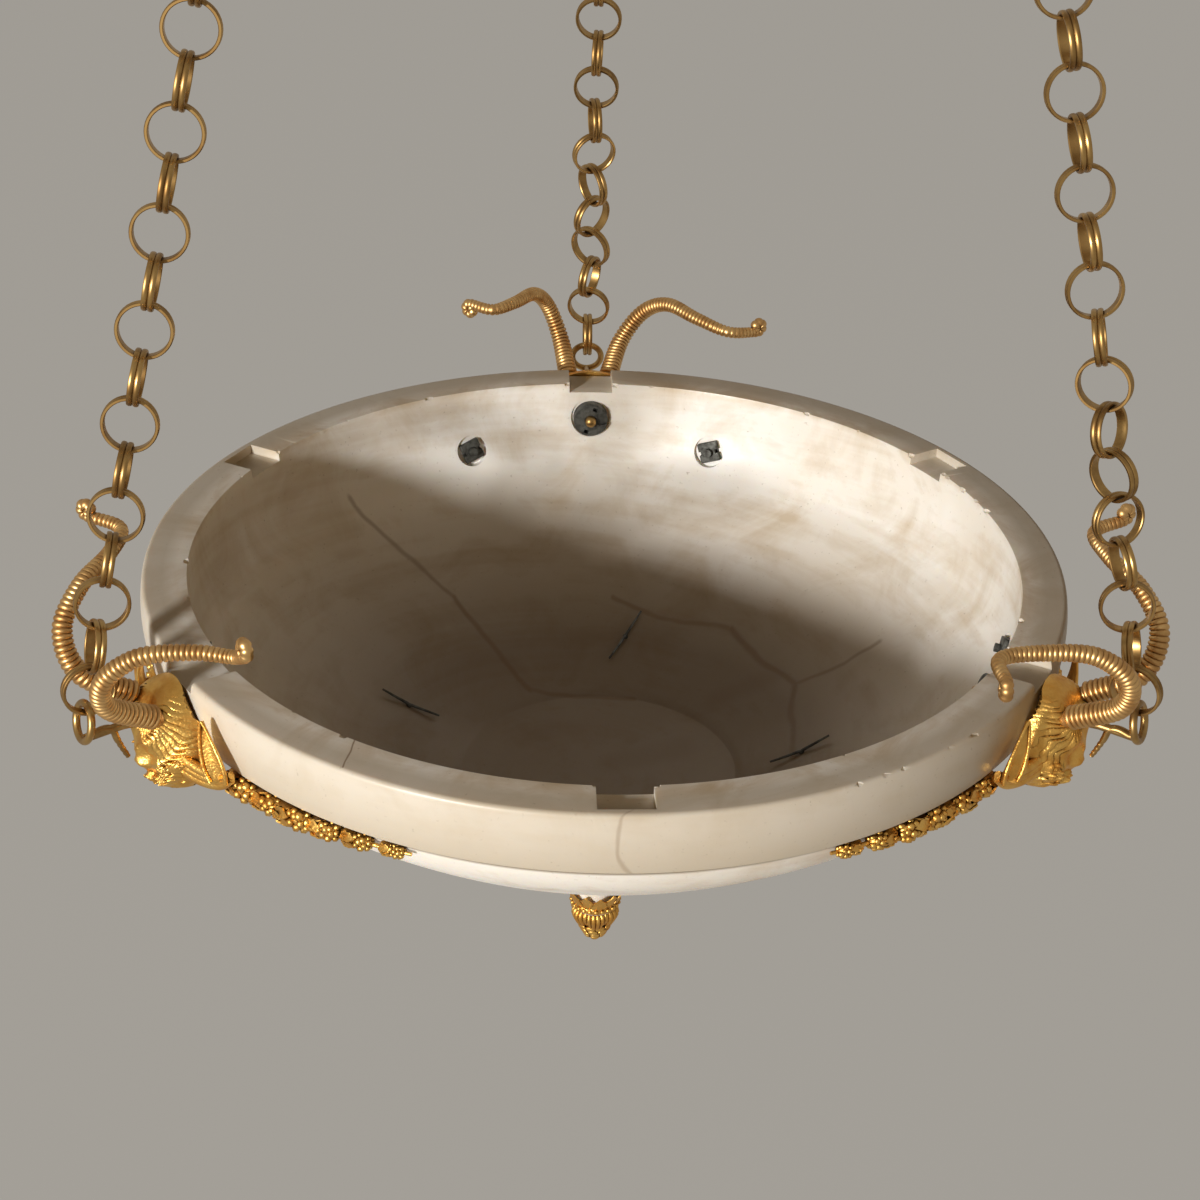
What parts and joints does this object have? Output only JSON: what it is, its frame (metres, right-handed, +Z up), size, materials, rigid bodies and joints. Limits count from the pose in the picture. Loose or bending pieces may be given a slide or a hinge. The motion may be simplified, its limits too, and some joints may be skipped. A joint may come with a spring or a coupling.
{
  "type": "alabaster chandelier",
  "caption": "Round alabaster dish light with a thick rim, horned gilt masks, fruit sprays and a drop finial, hung by ring chains from a crown and a ceiling hook.",
  "frame": {"origin": "centre of the ceiling plate's upper face, where it meets the ceiling", "axes": "+Z up, -Y towards the viewer of the picture, +X to the viewer's right"},
  "size_m": [0.5514, 0.5597, 1.1512],
  "materials": {
    "alabaster": "polished, veined",
    "gilt_bronze": "burnished gilding",
    "brown_gilt": "worn gilding",
    "aged_brass": "aged",
    "dark_brass": "aged",
    "iron": "oxidised"
  },
  "bodies": {
    "ceiling": {"ceiling_plate": "dark_brass", "hook_lock_nut": "dark_brass", "ceiling_hook": "dark_brass"},
    "hanging_ring": {"suspension_ring": "aged_brass"},
    "crown": {"crown_loop": "aged_brass", "crown_loop_nut": "aged_brass", "crown_frame": "aged_brass", "crown_eyebolts": "aged_brass", "crown_eye_nuts": "aged_brass"},
    "back_chain": {"chain_back": "aged_brass"},
    "left_chain": {"chain_left": "aged_brass"},
    "right_chain": {"chain_right": "aged_brass"},
    "bowl": {"alabaster_bowl": "alabaster", "mask_back": "gilt_bronze", "horn_back_a": "brown_gilt", "horn_back_b": "brown_gilt", "chain_hook_back": "aged_brass", "spray_back_a": "gilt_bronze", "spray_back_b": "gilt_bronze", "mask_left": "gilt_bronze", "horn_left_a": "brown_gilt", "horn_left_b": "brown_gilt", "chain_hook_left": "aged_brass", "spray_left_a": "gilt_bronze", "spray_left_b": "gilt_bronze", "mask_right": "gilt_bronze", "horn_right_a": "brown_gilt", "horn_right_b": "brown_gilt", "chain_hook_right": "aged_brass", "spray_right_a": "gilt_bronze", "spray_right_b": "gilt_bronze", "mask_nuts": "iron", "square_nuts": "iron", "split_pins": "iron", "finial_rod": "gilt_bronze", "finial_collar": "gilt_bronze", "finial_cup": "gilt_bronze", "pine_cone": "gilt_bronze"}
  },
  "joints": [
    {"name": "ring_swing", "type": "hinge", "parent": "ceiling", "child": "hanging_ring", "pos_m": [0, 0, -0.06], "axis": [1, 0, 0], "range_deg": [-25, 25]},
    {"name": "crown_swing", "type": "hinge", "parent": "hanging_ring", "child": "crown", "pos_m": [0, 0, -0.0921], "axis": [0, 1, 0], "range_deg": [-25, 25]},
    {"name": "bowl_twist", "type": "hinge", "parent": "crown", "child": "bowl", "pos_m": [0, 0, -0.88325], "axis": [0, 0, 1], "range_deg": [-5, 5]},
    {"name": "back_chain_lean", "type": "hinge", "parent": "crown", "child": "back_chain", "pos_m": [0, 0.14955, -0.26786], "axis": [0, 0.9728, 0.2317], "range_deg": [-2.5, 2.5]},
    {"name": "left_chain_lean", "type": "hinge", "parent": "crown", "child": "left_chain", "pos_m": [-0.12951, -0.07477, -0.26786], "axis": [-0.8424, -0.4864, 0.2317], "range_deg": [-2.5, 2.5]},
    {"name": "right_chain_lean", "type": "hinge", "parent": "crown", "child": "right_chain", "pos_m": [0.12951, -0.07477, -0.26786], "axis": [0.8424, -0.4864, 0.2317], "range_deg": [-2.5, 2.5]}
  ],
  "couplings": [
    {"joint": "back_chain_lean", "follows": "bowl_twist", "ratio": 0.4663},
    {"joint": "left_chain_lean", "follows": "bowl_twist", "ratio": 0.4663},
    {"joint": "right_chain_lean", "follows": "bowl_twist", "ratio": 0.4663}
  ]
}
